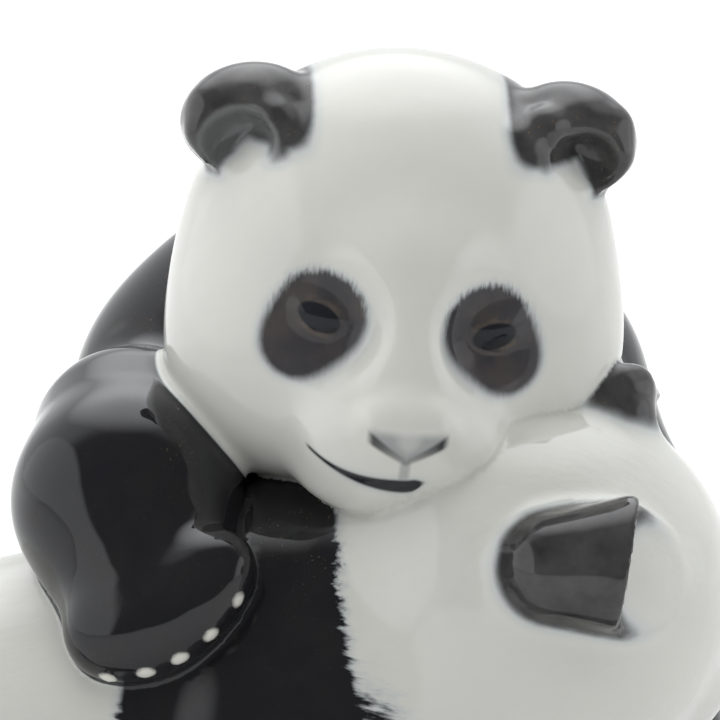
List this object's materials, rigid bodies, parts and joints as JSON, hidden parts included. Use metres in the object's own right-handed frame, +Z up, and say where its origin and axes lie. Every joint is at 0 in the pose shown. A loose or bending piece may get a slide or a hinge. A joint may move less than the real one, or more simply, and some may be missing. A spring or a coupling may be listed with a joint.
{
  "type": "panda figurine",
  "caption": "Glazed porcelain group of a panda hugging a smaller panda that lies on its belly, cast in one piece on a flat ground foot.",
  "frame": {"origin": "middle of the bounding box's underside, in the plane of the ground foot", "axes": "+Z up, -Y towards the hugging panda's face, +X towards the smaller panda's head"},
  "size_m": [0.1819, 0.1521, 0.1539],
  "materials": {
    "glazed_porcelain": "gloss"
  },
  "bodies": {
    "root": {"panda_group": "glazed_porcelain"}
  },
  "joints": []
}
